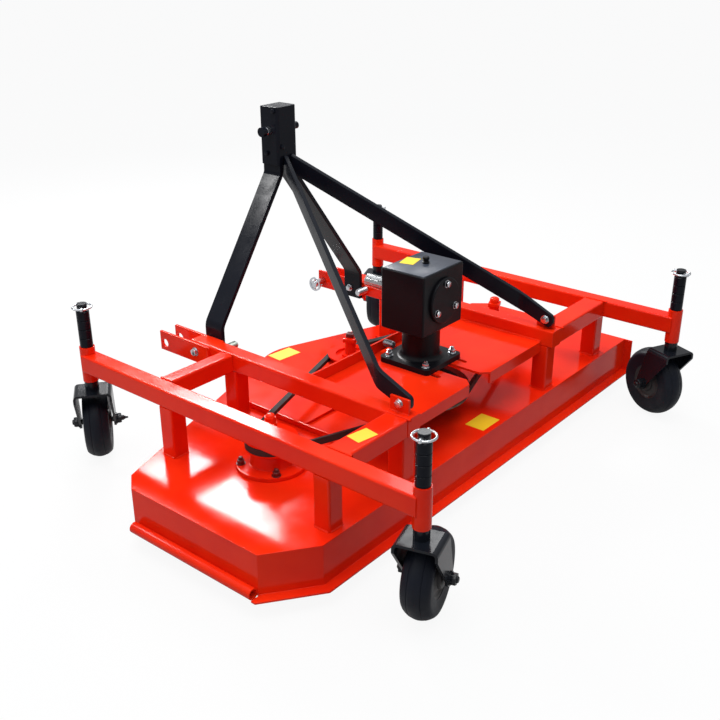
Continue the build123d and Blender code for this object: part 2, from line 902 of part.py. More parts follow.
def caster_fork(post, trail, axle):
    wheel_foot = post + trail * caster_trail
    front_view = Plane(origin=wheel_foot, x_dir=axle, z_dir=trail)
    side_view = Plane(origin=wheel_foot, x_dir=trail * -1, z_dir=axle)
    foot = fork_foot / 2
    with BuildPart() as fork:
        with BuildSketch(front_view.offset(-fork_reach)) as bent_plate:
            section = [
                (-fork_outside, wheel_radius - foot), (-fork_outside, fork_top),
                (fork_outside, fork_top), (fork_outside, wheel_radius - foot),
                (fork_inside, wheel_radius - foot), (fork_inside, fork_roof),
                (-fork_inside, fork_roof), (-fork_inside, wheel_radius - foot),
            ]
            with BuildLine():
                Polyline(*section, close=True)
            make_face()
            corners = bent_plate.vertices().group_by(Axis.Y)
            fillet(corners[-1], fork_bend + fork_plate)
            fillet(bent_plate.vertices().filter_by(
                lambda v: abs(v.Y - fork_roof) < 0.01 and abs(abs(v.X) - fork_inside) < 0.01
            ), fork_bend)
        extrude(amount=2 * fork_reach)
        with BuildSketch(side_view.offset(-fork_outside)):
            with BuildLine():
                Polyline(
                    (-foot, wheel_radius), (-foot, wheel_radius + tyre_bead),
                    (caster_trail - fork_behind, fork_top), (caster_trail + fork_ahead, fork_top),
                    (caster_trail + fork_ahead, fork_top - fork_shoulder), (foot, wheel_radius),
                )
                ThreePointArc((foot, wheel_radius), (0, wheel_radius - foot), (-foot, wheel_radius))
            make_face()
        extrude(amount=2 * fork_outside, mode=Mode.INTERSECT)
        with BuildSketch(level(fork_top)):
            with Locations((post.X, post.Y)):
                Circle(rod_diameter / 2)
        extrude(amount=rod_top - fork_top)
        with BuildSketch(level(fork_top)):
            with Locations((post.X, post.Y)):
                Circle(collar_diameter / 2)
        extrude(amount=collar_height - running_gap)
        with BuildSketch(side_view.offset(-fork_outside - axle_end)):
            with Locations((0, wheel_radius)):
                Circle(axle_diameter / 2)
        extrude(amount=2 * (fork_outside + axle_end))
        for face in (-1, 1):
            with BuildSketch(side_view.offset(face * fork_outside)):
                with Locations((0, wheel_radius)):
                    RegularPolygon(axle_nut / 2, 6)
            extrude(amount=face * axle_nut_thickness)
        with BuildSketch(Plane(origin=(post.X, post.Y, up(pin_height)), x_dir=axle, z_dir=trail)):
            Circle(lynch_diameter / 2 + running_gap)
        extrude(amount=rod_diameter, both=True, mode=Mode.SUBTRACT)
    return fork.part


def caster_spacers(post):
    """The stack of spacers over the sleeve, as one tube."""
    with BuildPart() as spacers:
        with BuildSketch(level(sleeve_high + running_gap)):
            with Locations((post.X, post.Y)):
                Circle(spacer_diameter / 2)
                Circle(rod_diameter / 2 + running_gap, mode=Mode.SUBTRACT)
        extrude(amount=spacer_count * spacer_length)
    return spacers.part


def caster_lynch_pin(post, trail, axle):
    centre = (post.X, post.Y, up(pin_height))
    with BuildPart() as lynch:
        with BuildSketch(Plane(origin=centre, x_dir=axle, z_dir=trail)):
            Circle(lynch_diameter / 2)
        extrude(amount=lynch_reach, both=True)
        with BuildSketch(Plane(origin=centre, x_dir=trail, z_dir=axle)):
            with Locations((lynch_ring / 2, 0)):
                Rectangle(lynch_wire, lynch_wire)
        revolve(axis=Axis((post.X, post.Y, 0), (0, 0, 1)))
    return lynch.part


def caster_tyre(wheel_centre, trail, axle):
    half = tyre_width / 2
    side_height = wheel_radius - tyre_shoulder
    tread_height = wheel_radius - tread_crown
    with BuildPart() as tyre:
        with BuildSketch(Plane(origin=wheel_centre, x_dir=trail, z_dir=(0, 0, 1))):
            with BuildLine():
                Polyline(
                    (hub_diameter / 2, tyre_bead - half), (side_height, -half),
                    (tread_height, tread_side - half),
                )
                ThreePointArc(
                    (tread_height, tread_side - half), (wheel_radius, 0), (tread_height, half - tread_side)
                )
                Polyline(
                    (tread_height, half - tread_side), (side_height, half),
                    (hub_diameter / 2, half - tyre_bead), (hub_diameter / 2, tyre_bead - half),
                )
            make_face()
        revolve(axis=Axis(wheel_centre, axle))
    return tyre.part


def caster_hub(wheel_centre, trail, axle):
    side_view = Plane(origin=wheel_centre, x_dir=trail, z_dir=axle)
    with BuildPart() as hub:
        for diameter, width in ((hub_boss, hub_width), (hub_diameter, tyre_width - 2 * hub_inset)):
            with BuildSketch(side_view.offset(-width / 2)):
                Circle(diameter / 2)
                Circle(axle_diameter / 2 + running_gap, mode=Mode.SUBTRACT)
            extrude(amount=width)
    return hub.part


for name, side, front, heading in casters:
    post = Vector(rail_centre(side), back(0 if front else caster_base), up(0))
    trail = Vector(cos(radians(heading)), sin(radians(heading)), 0)
    axle = Vector(-trail.Y, trail.X, 0)
    wheel_centre = post + trail * caster_trail + Vector(0, 0, wheel_radius)
    write(caster_fork(post, trail, axle), f"fork_{name}")
    write(caster_spacers(post), f"spacers_{name}")
    write(caster_lynch_pin(post, trail, axle), f"lynch_pin_{name}")
    write(caster_tyre(wheel_centre, trail, axle), f"tyre_{name}")
    write(caster_hub(wheel_centre, trail, axle), f"hub_{name}")
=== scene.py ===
import json
from math import atan2, cos, degrees, pi, radians, sin

import bpy
from mathutils import Matrix, Vector


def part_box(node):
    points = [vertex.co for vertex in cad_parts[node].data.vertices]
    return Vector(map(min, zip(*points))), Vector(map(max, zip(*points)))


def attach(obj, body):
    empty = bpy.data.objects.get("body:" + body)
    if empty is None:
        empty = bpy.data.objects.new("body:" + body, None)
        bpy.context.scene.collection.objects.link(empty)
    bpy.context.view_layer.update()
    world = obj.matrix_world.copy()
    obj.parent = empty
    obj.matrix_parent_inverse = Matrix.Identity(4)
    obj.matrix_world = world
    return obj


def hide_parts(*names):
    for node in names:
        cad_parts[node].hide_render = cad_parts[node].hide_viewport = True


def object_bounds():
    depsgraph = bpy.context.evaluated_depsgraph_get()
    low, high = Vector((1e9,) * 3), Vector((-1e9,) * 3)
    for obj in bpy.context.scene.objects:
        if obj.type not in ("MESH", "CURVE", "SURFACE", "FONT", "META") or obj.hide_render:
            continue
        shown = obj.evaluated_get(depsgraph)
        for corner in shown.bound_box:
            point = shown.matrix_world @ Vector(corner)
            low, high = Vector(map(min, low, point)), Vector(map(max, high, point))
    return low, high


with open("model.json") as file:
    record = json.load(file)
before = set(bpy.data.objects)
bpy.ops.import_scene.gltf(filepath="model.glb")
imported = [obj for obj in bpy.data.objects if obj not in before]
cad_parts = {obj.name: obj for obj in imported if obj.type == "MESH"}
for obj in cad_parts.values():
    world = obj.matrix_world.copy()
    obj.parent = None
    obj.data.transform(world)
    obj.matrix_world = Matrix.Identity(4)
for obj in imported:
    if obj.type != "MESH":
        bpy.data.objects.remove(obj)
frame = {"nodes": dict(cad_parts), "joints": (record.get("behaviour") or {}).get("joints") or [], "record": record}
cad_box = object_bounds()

MM = 0.001
UP = (0, 0, 1)
LEFT = (-1, 0, 0)
RIGHT = (1, 0, 0)
FRONT = (0, 1, 0)
REAR = (0, -1, 0)


# Camera, at the photograph's place
film_width = 36
image_width = 720
focal_length_in_pixels = 965.96
camera_place = (-1.8128, -1.4700, 0.8271)
camera_heading = radians(39.59)
camera_pitch = radians(24.26)
camera_roll = radians(-0.18)


def aim_camera():
    lens = bpy.data.cameras.new("camera")
    lens.sensor_width = film_width
    lens.lens = film_width * focal_length_in_pixels / image_width
    camera = bpy.data.objects.new("camera", lens)
    bpy.context.scene.collection.objects.link(camera)
    camera.location = camera_place
    level = cos(camera_pitch)
    forward = Vector((cos(camera_heading) * level, sin(camera_heading) * level, -sin(camera_pitch)))
    roll = Matrix.Rotation(camera_roll, 3, "Z").to_quaternion()
    camera.rotation_mode = "QUATERNION"
    camera.rotation_quaternion = forward.to_track_quat("-Z", "Y") @ roll
    bpy.context.scene.camera = camera


# Shader groups
def new_group(name, inputs, outputs):
    group = bpy.data.node_groups.new(name, "ShaderNodeTree")
    for label, kind, value in inputs:
        socket = group.interface.new_socket(name=label, in_out="INPUT", socket_type=kind)
        socket.default_value = value
    for label, kind in outputs:
        group.interface.new_socket(name=label, in_out="OUTPUT", socket_type=kind)
    start = group.nodes.new("NodeGroupInput")
    end = group.nodes.new("NodeGroupOutput")
    return group, start.outputs, end.inputs


def noise(tree, vector, scale, detail=3.0, roughness=0.5):
    node = tree.nodes.new("ShaderNodeTexNoise")
    node.inputs["Detail"].default_value = detail
    node.inputs["Roughness"].default_value = roughness
    tree.links.new(vector, node.inputs["Vector"])
    if isinstance(scale, float):
        node.inputs["Scale"].default_value = scale
    else:
        tree.links.new(scale, node.inputs["Scale"])
    return node.outputs["Fac"]


def spread(tree, value, low, high, new_low, new_high):
    """A value between low and high, spread over a new range. Each end is a number or a socket."""
    node = tree.nodes.new("ShaderNodeMapRange")
    tree.links.new(value, node.inputs["Value"])
    ends = {"From Min": low, "From Max": high, "To Min": new_low, "To Max": new_high}
    for label, given in ends.items():
        if isinstance(given, float):
            node.inputs[label].default_value = given
        else:
            tree.links.new(given, node.inputs[label])
    return node.outputs["Result"]


def blended(tree, share, first, second):
    node = tree.nodes.new("ShaderNodeMix")
    node.data_type = "RGBA"
    tree.links.new(share, node.inputs["Factor"])
    tree.links.new(first, node.inputs["A"])
    tree.links.new(second, node.inputs["B"])
    return node.outputs["Result"]


def object_point(tree):
    return tree.nodes.new("ShaderNodeTexCoord").outputs["Object"]


surface_outputs = [
    ("Color", "NodeSocketColor"), ("Roughness", "NodeSocketFloat"), ("Height", "NodeSocketFloat"),
]


def build_enamel_group():
    """Sprayed enamel: broad changes of depth, a few duller patches and a fine orange peel."""
    group, given, out = new_group(
        "enamel",
        [
            ("Color", "NodeSocketColor", (0.5, 0.5, 0.5, 1)),
            ("Deep Color", "NodeSocketColor", (0.4, 0.4, 0.4, 1)),
            ("Gloss Roughness", "NodeSocketFloat", 0.2),
            ("Dull Roughness", "NodeSocketFloat", 0.35),
            ("Patch Scale", "NodeSocketFloat", 6.0),
            ("Peel Scale", "NodeSocketFloat", 220.0),
        ],
        surface_outputs,
    )
    point = object_point(group)
    patch = noise(group, point, given["Patch Scale"], detail=4.0)
    patch = spread(group, patch, 0.38, 0.66, 0.0, 1.0)
    group.links.new(blended(group, patch, given["Color"], given["Deep Color"]), out["Color"])
    dull = noise(group, point, 17.0, detail=6.0, roughness=0.6)
    dull = spread(group, dull, 0.4, 0.7, given["Gloss Roughness"], given["Dull Roughness"])
    group.links.new(dull, out["Roughness"])
    group.links.new(noise(group, point, given["Peel Scale"], detail=2.0), out["Height"])
    return group


def build_metal_group():
    """Bare or plated metal: fine scratches and small stains."""
    group, given, out = new_group(
        "worked_metal",
        [
            ("Color", "NodeSocketColor", (0.7, 0.7, 0.7, 1)),
            ("Stain Color", "NodeSocketColor", (0.3, 0.3, 0.3, 1)),
            ("Smooth Roughness", "NodeSocketFloat", 0.15),
            ("Rough Roughness", "NodeSocketFloat", 0.4),
            ("Stretch", "NodeSocketVector", (1.0, 1.0, 1.0)),
        ],
        surface_outputs,
    )
    point = object_point(group)
    stretched = group.nodes.new("ShaderNodeVectorMath")
    stretched.operation = "MULTIPLY"
    group.links.new(point, stretched.inputs[0])
    group.links.new(given["Stretch"], stretched.inputs[1])
    scratch = noise(group, stretched.outputs["Vector"], 900.0)
    stain = noise(group, point, 60.0, detail=5.0, roughness=0.65)
    stain = spread(group, stain, 0.55, 0.75, 0.0, 1.0)
    group.links.new(blended(group, stain, given["Color"], given["Stain Color"]), out["Color"])
    rough = spread(group, scratch, 0.3, 0.7, given["Smooth Roughness"], given["Rough Roughness"])
    group.links.new(rough, out["Roughness"])
    group.links.new(scratch, out["Height"])
    return group


def build_dust_group():
    """Pale dust that lies thicker towards the ground."""
    group, given, out = new_group(
        "ground_dust",
        [
            ("Color", "NodeSocketColor", (0.1, 0.1, 0.1, 1)),
            ("Dust Color", "NodeSocketColor", (0.3, 0.27, 0.23, 1)),
            ("Clean Height", "NodeSocketFloat", -0.3),
            ("Dusty Height", "NodeSocketFloat", -0.45),
            ("Most", "NodeSocketFloat", 0.4),
        ],
        [("Color", "NodeSocketColor")],
    )
    point = object_point(group)
    parts = group.nodes.new("ShaderNodeSeparateXYZ")
    group.links.new(point, parts.inputs["Vector"])
    height = parts.outputs["Z"]
    low = spread(group, height, given["Clean Height"], given["Dusty Height"], 0.0, given["Most"])
    cloud = noise(group, point, 45.0, detail=6.0, roughness=0.65)
    cloud = spread(group, cloud, 0.35, 0.65, 0.15, 1.0)
    dust = group.nodes.new("ShaderNodeMath")
    dust.operation = "MULTIPLY"
    dust.use_clamp = True
    group.links.new(low, dust.inputs[0])
    group.links.new(cloud, dust.inputs[1])
    colour = blended(group, dust.outputs["Value"], given["Color"], given["Dust Color"])
    group.links.new(colour, out["Color"])
    return group


enamel_group = build_enamel_group()
metal_group = build_metal_group()
dust_group = build_dust_group()
enamel_peel_depth = 0.0006
metal_scratch_depth = 0.0003
coat_roughness = 0.06


# Materials
def new_material(name, **sockets):
    material = bpy.data.materials.new(name)
    material.use_nodes = True
    shader = material.node_tree.nodes["Principled BSDF"]
    for label, value in sockets.items():
        shader.inputs[label.replace("_", " ")].default_value = value
    return material, material.node_tree, shader


def use_group(tree, group, **values):
    node = tree.nodes.new("ShaderNodeGroup")
    node.node_tree = group
    for label, value in values.items():
        node.inputs[label.replace("_", " ")].default_value = value
    return node


def bump(tree, shader, height, strength, distance):
    node = tree.nodes.new("ShaderNodeBump")
    node.inputs["Strength"].default_value = strength
    node.inputs["Distance"].default_value = distance
    tree.links.new(height, node.inputs["Height"])
    tree.links.new(node.outputs["Normal"], shader.inputs["Normal"])


def enamel(name, color, deep, gloss, dull, peel, peel_strength, coat=0.0, dusty=None, **sockets):
    """Paint, rubber or moulded plastic. Where dusty is given, it is the dust near the ground."""
    material, tree, shader = new_material(
        name, Coat_Weight=coat, Coat_Roughness=coat_roughness, **sockets
    )
    node = use_group(
        tree, enamel_group, Color=(*color, 1), Deep_Color=(*deep, 1), Gloss_Roughness=gloss,
        Dull_Roughness=dull, Peel_Scale=peel,
    )
    colour = node.outputs["Color"]
    if dusty is not None:
        dust = use_group(tree, dust_group, Most=dusty)
        tree.links.new(colour, dust.inputs["Color"])
        colour = dust.outputs["Color"]
    tree.links.new(colour, shader.inputs["Base Color"])
    tree.links.new(node.outputs["Roughness"], shader.inputs["Roughness"])
    bump(tree, shader, node.outputs["Height"], peel_strength, enamel_peel_depth)
    return material


def metal(name, color, stain, smooth, rough, stretch=(1, 1, 1), strength=0.06):
    material, tree, shader = new_material(name, Metallic=1.0)
    node = use_group(
        tree, metal_group, Color=(*color, 1), Stain_Color=(*stain, 1), Smooth_Roughness=smooth,
        Rough_Roughness=rough, Stretch=stretch,
    )
    tree.links.new(node.outputs["Color"], shader.inputs["Base Color"])
    tree.links.new(node.outputs["Roughness"], shader.inputs["Roughness"])
    bump(tree, shader, node.outputs["Height"], strength, metal_scratch_depth)
    return material


red_enamel = enamel(
    "red_enamel", (0.88, 0.027, 0.004), (0.80, 0.016, 0.003), gloss=0.11, dull=0.19,
    peel=240.0, peel_strength=0.05, coat=0.05, dusty=0.005, Specular_IOR_Level=0.12,
)
black_enamel = enamel(
    "black_enamel", (0.007, 0.0085, 0.014), (0.004, 0.005, 0.009), gloss=0.18, dull=0.30,
    peel=260.0, peel_strength=0.10, Specular_IOR_Level=0.12,
)
fork_enamel = enamel(
    "fork_enamel", (0.008, 0.010, 0.015), (0.005, 0.006, 0.009), gloss=0.14, dull=0.24,
    peel=300.0, peel_strength=0.10, dusty=0.06, Specular_IOR_Level=0.25,
)
casting_paint = enamel(
    "casting_paint", (0.005, 0.005, 0.007), (0.003, 0.003, 0.0045), gloss=0.32, dull=0.5,
    peel=420.0, peel_strength=0.4, Specular_IOR_Level=0.15,
)
# The lid's blue-grey, lighter than the black casting, is a painted reflection of the sky on the gearbox's top
# face.
lid_painted_sky_reflection = enamel(
    "lid_painted_sky_reflection", (0.040, 0.050, 0.072), (0.026, 0.032, 0.048), gloss=0.3, dull=0.45,
    peel=300.0, peel_strength=0.2,
)
# A dark copy of the red paint: painted shade, for the rotor housings' flange bolts and the centre spindle's nut.
dark_red_painted_shade = enamel(
    "dark_red_painted_shade", (0.16, 0.010, 0.008), (0.10, 0.006, 0.006), gloss=0.3, dull=0.5,
    peel=300.0, peel_strength=0.3,
)
label_yellow = enamel(
    "label_yellow", (0.92, 0.62, 0.025), (0.86, 0.55, 0.02), gloss=0.3, dull=0.42,
    peel=500.0, peel_strength=0.05, Specular_IOR_Level=0.3,
)
tyre_rubber = enamel(
    "tyre_rubber", (0.008, 0.010, 0.017), (0.005, 0.007, 0.012), gloss=0.38, dull=0.6,
    peel=700.0, peel_strength=0.4, dusty=0.05, Specular_IOR_Level=0.15,
)
belt_rubber = enamel(
    "belt_rubber", (0.020, 0.019, 0.019), (0.012, 0.011, 0.011), gloss=0.55, dull=0.75,
    peel=900.0, peel_strength=0.6,
)
hub_plastic = enamel(
    "hub_plastic", (0.030, 0.026, 0.027), (0.018, 0.016, 0.017), gloss=0.4, dull=0.6,
    peel=500.0, peel_strength=0.2, dusty=0.1, Specular_IOR_Level=0.3,
)
zinc_plate = metal("zinc_plate", (0.60, 0.62, 0.65), (0.34, 0.36, 0.38), smooth=0.16, rough=0.34)
green_zinc = metal("green_zinc", (0.50, 0.56, 0.50), (0.34, 0.36, 0.34), smooth=0.22, rough=0.42)
bright_steel = metal(
    "bright_steel", (0.56, 0.57, 0.58), (0.34, 0.34, 0.34), smooth=0.14, rough=0.36,
    stretch=(1, 0.06, 1), strength=0.12,
)
pulley_iron = metal(
    "pulley_iron", (0.16, 0.16, 0.17), (0.09, 0.07, 0.06), smooth=0.32, rough=0.6, strength=0.3,
)
blade_steel = metal(
    "blade_steel", (0.10, 0.10, 0.11), (0.06, 0.05, 0.05), smooth=0.4, rough=0.65, strength=0.2,
)
finishes = {
    "red_paint": red_enamel,
    "black_paint": black_enamel,
    "gearbox_black": casting_paint,
    "zinc": zinc_plate,
    "bright_steel": bright_steel,
    "pulley_iron": pulley_iron,
    "blade_steel": blade_steel,
    "belt_rubber": belt_rubber,
    "tyre_rubber": tyre_rubber,
    "hub_grey": hub_plastic,
}
record = frame["record"]
slot_of = {row["node"]: row["material_slot"] for row in record["subparts"]}
body_of = {node: body for body, nodes in record["behaviour"]["bodies"].items() for node in nodes}


def finish_of(node):
    """The finish of the node's slot, except for the forks, which have a glossier black."""
    return fork_enamel if node.startswith("fork_") else finishes[slot_of[node]]


for node_name, node_object in frame["nodes"].items():
    node_object.data.materials.clear()
    node_object.data.materials.append(finish_of(node_name))


# Workbench. Sizes and places are in millimetres from here to the floor.
same_point = 0.01
cad_same_point = 0.02
cad_flat_angle = radians(1.5)
hexagon_bevel_share = 0.055


def pick_none():
    bpy.ops.object.select_all(action="DESELECT")


def pick(piece):
    pick_none()
    piece.select_set(True)
    bpy.context.view_layer.objects.active = piece


def named(name):
    piece = bpy.context.object
    piece.name = name
    piece.data.name = name
    return piece


def smooth(piece, angle=35):
    pick(piece)
    bpy.ops.object.shade_smooth_by_angle(angle=radians(angle))


def seat(piece, body, finish):
    """The piece takes its place in its mesh, its finish, and the body that it moves with."""
    pick(piece)
    bpy.ops.object.transform_apply(location=True, rotation=True, scale=True)
    piece.data.materials.clear()
    piece.data.materials.append(finish)
    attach(piece, body)
    return piece


def turned(name, outline, steps=48):
    """A piece spun about Z from an outline of (radius, height) pairs."""
    pick_none()
    bpy.ops.mesh.primitive_plane_add(size=MM)
    bpy.ops.object.mode_set(mode="EDIT")
    bpy.ops.mesh.merge(type="CENTER")
    bpy.ops.transform.translate(value=(outline[0][0] * MM, 0, outline[0][1] * MM))
    for (radius, height), (next_radius, next_height) in zip(outline, outline[1:]):
        step = ((next_radius - radius) * MM, 0, (next_height - height) * MM)
        bpy.ops.mesh.extrude_region_move(TRANSFORM_OT_translate={"value": step})
    bpy.ops.mesh.select_all(action="SELECT")
    bpy.ops.mesh.spin(steps=steps, angle=2 * pi, center=(0, 0, 0), axis=(0, 0, 1))
    bpy.ops.mesh.select_all(action="SELECT")
    bpy.ops.mesh.remove_doubles(threshold=same_point * MM)
    bpy.ops.mesh.normals_make_consistent(inside=False)
    bpy.ops.object.mode_set(mode="OBJECT")
    piece = named(name)
    smooth(piece)
    return piece


def hexagon(name, across, height, low=0.0):
    """A six-sided head with softened edges, whose foot is at the height called low."""
    pick_none()
    bpy.ops.mesh.primitive_cylinder_add(
        vertices=6, radius=across * MM / 2 / cos(pi / 6), depth=height * MM,
        location=(0, 0, (low + height / 2) * MM),
    )
    piece = named(name)
    bpy.ops.object.transform_apply(location=True, rotation=False, scale=False)
    bpy.ops.object.modifier_add(type="BEVEL")
    bevel = piece.modifiers[-1]
    bevel.width = across * hexagon_bevel_share * MM
    bevel.segments = 2
    bevel.limit_method = "ANGLE"
    bpy.ops.object.modifier_apply(modifier=bevel.name)
    smooth(piece, angle=28)
    return piece


def block(name, size, radius, segments=2):
    """A block about the origin, with rounded edges."""
    pick_none()
    bpy.ops.mesh.primitive_cube_add(size=1)
    piece = named(name)
    piece.scale = Vector(size) * MM
    bpy.ops.object.transform_apply(location=False, rotation=False, scale=True)
    bpy.ops.object.modifier_add(type="BEVEL")
    bevel = piece.modifiers[-1]
    bevel.width = radius * MM
    bevel.segments = segments
    bpy.ops.object.modifier_apply(modifier=bevel.name)
    smooth(piece, angle=40)
    return piece


def joined(name, *pieces):
    pick_none()
    for piece in pieces:
        piece.select_set(True)
    bpy.context.view_layer.objects.active = pieces[0]
    bpy.ops.object.join()
    return named(name)


def copied(pattern, name, at, along, body, finish, spin=0.0, scale=1.0):
    """A copy of a pattern piece with its foot at a point, standing along a direction."""
    mesh = pattern.data.copy()
    stand = Vector(along).to_track_quat("Z", "Y").to_matrix().to_4x4()
    place = Matrix.Translation(Vector(at) * MM) @ stand
    mesh.transform(place @ Matrix.Rotation(radians(spin), 4, "Z") @ Matrix.Scale(scale, 4))
    piece = bpy.data.objects.new(name, mesh)
    bpy.context.scene.collection.objects.link(piece)
    return seat(piece, body, finish)


def box_mm(node):
    low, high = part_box(node)
    return low / MM, high / MM


def rounded(node, radius, segments=2, angle=30):
    """The CAD node's own shape with its sharp edges rounded, in its place."""
    mesh = frame["nodes"][node].data.copy()
    piece = bpy.data.objects.new(f"{node}_finished", mesh)
    bpy.context.scene.collection.objects.link(piece)
    pick(piece)
    bpy.ops.object.mode_set(mode="EDIT")
    bpy.ops.mesh.select_all(action="SELECT")
    bpy.ops.mesh.customdata_custom_splitnormals_clear()
    bpy.ops.mesh.remove_doubles(threshold=cad_same_point * MM)
    bpy.ops.mesh.dissolve_limited(angle_limit=cad_flat_angle)
    bpy.ops.object.mode_set(mode="OBJECT")
    bpy.ops.object.modifier_add(type="BEVEL")
    bevel = piece.modifiers[-1]
    bevel.width = radius * MM
    bevel.segments = segments
    bevel.limit_method = "ANGLE"
    bevel.angle_limit = radians(angle)
    bevel.use_clamp_overlap = True
    bevel.harden_normals = False
    bpy.ops.object.modifier_apply(modifier=bevel.name)
    smooth(piece, angle=38)
    bpy.ops.object.modifier_add(type="WEIGHTED_NORMAL")
    weighted = piece.modifiers[-1]
    weighted.keep_sharp = True
    bpy.ops.object.modifier_apply(modifier=weighted.name)
    seat(piece, body_of[node], finish_of(node))
    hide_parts(node)
    return piece


# Corners of the CAD nodes that the small pieces sit on
deck_top = box_mm("deck")[1].z
panel_top = box_mm("deck_panel")[1].z
posts_low, posts_high = box_mm("frame_posts")
members_low, members_high = box_mm("cross_members")
beam_low, beam_high = box_mm("inner_beam_right")
left_rail_low, left_rail_high = box_mm("outer_rail_left")
right_rail_low, right_rail_high = box_mm("outer_rail_right")
platform_low, platform_high = box_mm("platform_left")
plates_low, plates_high = box_mm("hitch_plates_right")
tabs_low, tabs_high = box_mm("brace_tabs")
head_left = box_mm("mast_head")[0].x
beam_centre = (beam_low.x + beam_high.x) / 2
left_rail_centre = (left_rail_low.x + left_rail_high.x) / 2
right_rail_centre = (right_rail_low.x + right_rail_high.x) / 2
frame_top = beam_high.z
platform_top = platform_high.z
caster_names = ("front_left", "front_right", "rear_left", "rear_right")


# Sheet and tube pieces, with the soft edges of rolled and folded steel
tube_edge = 1.2
sheet_edge = 1.6
tube_nodes = (
    "outer_rail_left", "outer_rail_right", "inner_beam_left", "inner_beam_right",
    "cross_members", "frame_posts",
)
sheet_nodes = (
    "deck", "deck_panel", "deck_ribs", "platform_left", "platform_right", "platform_stiffener",
    "hitch_plates_left", "hitch_plates_right", "brace_tabs", "mast_leg_left", "mast_leg_right",
    "mast_brace_left", "mast_brace_right", "mast_head",
)
edge_radii = {node: tube_edge for node in tube_nodes}
edge_radii.update({node: sheet_edge for node in sheet_nodes})
edge_radii.update({"gearbox": 1.2, "gearbox_cover": 0.8, "rotor_housings": 1.5})
edge_radii.update({f"fork_{caster_name}": 1.0 for caster_name in caster_names})
for node_name, radius in edge_radii.items():
    rounded(node_name, radius)


# Patterns for the fasteners
thread_pitch = 1.5
thread_turns = 14
thread_root = 5.6
thread_crest = 6.2
thread_end = 4.6
thread_length = thread_turns * thread_pitch
stud_end_foot = 12
stud_end_squeeze = 0.4
washer_outline = [(0, 0), (13, 0), (13, 2), (12.6, 2.4), (0, 2.4)]
small_washer_outline = [(0, 0), (9, 0), (9, 1.6), (0, 1.6)]
dome_outline = [
    (0, -14), (15, -14), (15.5, -13), (15.5, 3), (14.5, 6.5), (11.5, 9.2), (6.5, 11), (0, 11.6),
]
thread = [(0, 0)]
for turn_number in range(thread_turns):
    foot = turn_number * thread_pitch
    thread += [(thread_root, foot), (thread_crest, foot + thread_pitch / 2)]
thread += [
    (thread_root, thread_length), (thread_end, thread_length + thread_pitch),
    (0, thread_length + thread_pitch),
]
stud_end = [(radius, height * stud_end_squeeze + stud_end_foot) for radius, height in thread]

hex_bolt = joined(
    "hex_bolt", hexagon("hex_bolt_head", 19, 8, 2.4), turned("hex_bolt_washer", washer_outline, 32),
)
small_bolt = joined(
    "small_bolt", hexagon("small_bolt_head", 13, 6, 1.6),
    turned("small_bolt_washer", small_washer_outline, 24),
)
stud_thread = turned("stud_thread", thread, 20)
stud_nut = joined(
    "stud_nut", hexagon("stud_nut_body", 19, 10, 2.4),
    turned("stud_nut_washer", washer_outline, 32), turned("stud_nut_thread", stud_end, 20),
)
dome_cap = turned("dome_cap", dome_outline, 40)
square_foot = block("square_foot", (34, 34, 12), 1.8)
square_nut = block("square_nut", (22, 22, 14), 1.6)


# Rotor housings: flange bolts, and the caps and nuts on the spindle tops
housing_plate = 10
housing_bolt_circle = 72
housing_bolt_count = 4
housing_bolt_start = 52
spindle_block_sink = 8
spindle_nut_lift = 4
spindle_nut_spin = 22


def housing_bolts(name, middle):
    for number in range(housing_bolt_count):
        angle = radians(housing_bolt_start + number * 360 / housing_bolt_count)
        at = (
            middle[0] + housing_bolt_circle * cos(angle),
            middle[1] + housing_bolt_circle * sin(angle),
            deck_top + housing_plate,
        )
        # The housing bolts take the red paint darkened with painted shade.
        copied(
            stud_nut, f"{name}_{number}", at, UP, "root", dark_red_painted_shade,
            spin=housing_bolt_start + 17 * number, scale=0.85,
        )


for rotor_name in ("left", "centre", "right"):
    low, high = box_mm(f"spindle_{rotor_name}")
    middle = ((low.x + high.x) / 2, (low.y + high.y) / 2)
    housing_bolts(f"housing_bolt_{rotor_name}", middle)
    body = f"rotor_{rotor_name}"
    if rotor_name == "left":
        copied(
            dome_cap, "spindle_cap_left", (*middle, high.z), UP, body, red_enamel,
            scale=0.7,
        )
    else:
        copied(
            square_foot, f"spindle_block_{rotor_name}", (*middle, high.z - spindle_block_sink), UP,
            body, red_enamel, spin=spindle_nut_spin,
        )
        top = square_nut if rotor_name == "centre" else dome_cap
        # The centre nut takes the darker red of painted shade; the other tops take the red paint.
        paint = dark_red_painted_shade if rotor_name == "centre" else red_enamel
        copied(
            top, f"spindle_top_{rotor_name}", (*middle, high.z + spindle_nut_lift), UP,
            body, paint, spin=spindle_nut_spin, scale=0.9,
        )


# Gearbox: lid, breather, cover bolts, flange studs, and the tension bolt on the platform
gearbox_depth = 128
gearbox_flange = 14
lid_width = 156
lid_depth = 120
lid_sheet = 3
lid_lift = 0.2
breather_side = 10
breather_shift = 2
breather_lift = 1
cover_sheet = 5.5
cover_bolt_count = 3
cover_bolt_circle = 43.5
flange_stud_half = 56.5
tension_bolt_side = -7
tension_bolt_foot = -56
tension_nut_foot = -88
tension_bolt_lift = 19
breather_outline = [
    (0, 0), (9, 0), (9, 4), (7, 5), (7, 10), (8.5, 11), (8.5, 15), (7, 17), (0, 17.5),
]
gear_low, gear_high = box_mm("gearbox")
cover_low, cover_high = box_mm("gearbox_cover")
gear_middle = (gear_low.x + gear_high.x) / 2
gear_back = cover_high.y + gearbox_depth / 2

